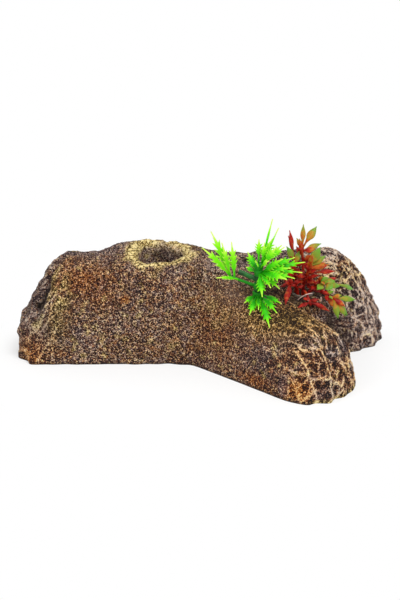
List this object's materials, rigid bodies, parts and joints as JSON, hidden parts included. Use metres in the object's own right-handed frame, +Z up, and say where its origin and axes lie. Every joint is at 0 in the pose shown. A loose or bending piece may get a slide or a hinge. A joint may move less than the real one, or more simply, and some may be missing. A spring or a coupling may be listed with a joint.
{
  "type": "resin cave ornament",
  "caption": "Hollow cast resin log for an aquarium or vivarium, with a raised knot hole, forked roots and tufts of green and red plastic plant glued in its roof.",
  "frame": {"origin": "centre of the bounding box, on the floor that the log stands on", "axes": "+X along the log towards its roots, +Y to its back, +Z up"},
  "size_m": [0.2177, 0.1105, 0.0879],
  "materials": {
    "cast_resin": "cast stone-filled resin, gritty, painted dark brown and dry-brushed tan",
    "green_leaf": "moulded soft polyethylene, bright green with yellow-green tips",
    "green_stem": "moulded soft polyethylene, dark green",
    "red_leaf": "moulded soft polyethylene, red fading to green at the tips",
    "hot_melt_glue": "milky hot-melt glue"
  },
  "bodies": {
    "root": {"cave_shell": "cast_resin", "green_stem": "green_stem", "green_left_spray": "green_leaf", "green_crown_spray": "green_leaf", "green_top_spray": "green_leaf", "green_front_spray": "green_leaf", "green_glue_bead": "hot_melt_glue", "red_foot": "red_leaf", "red_sprig_left": "red_leaf", "red_sprig_tall": "red_leaf", "red_sprig_middle": "red_leaf", "red_sprig_right": "red_leaf", "red_sprig_low": "red_leaf", "red_sprig_front": "red_leaf", "red_sprig_droop": "red_leaf", "red_glue_bead": "hot_melt_glue"}
  },
  "joints": []
}
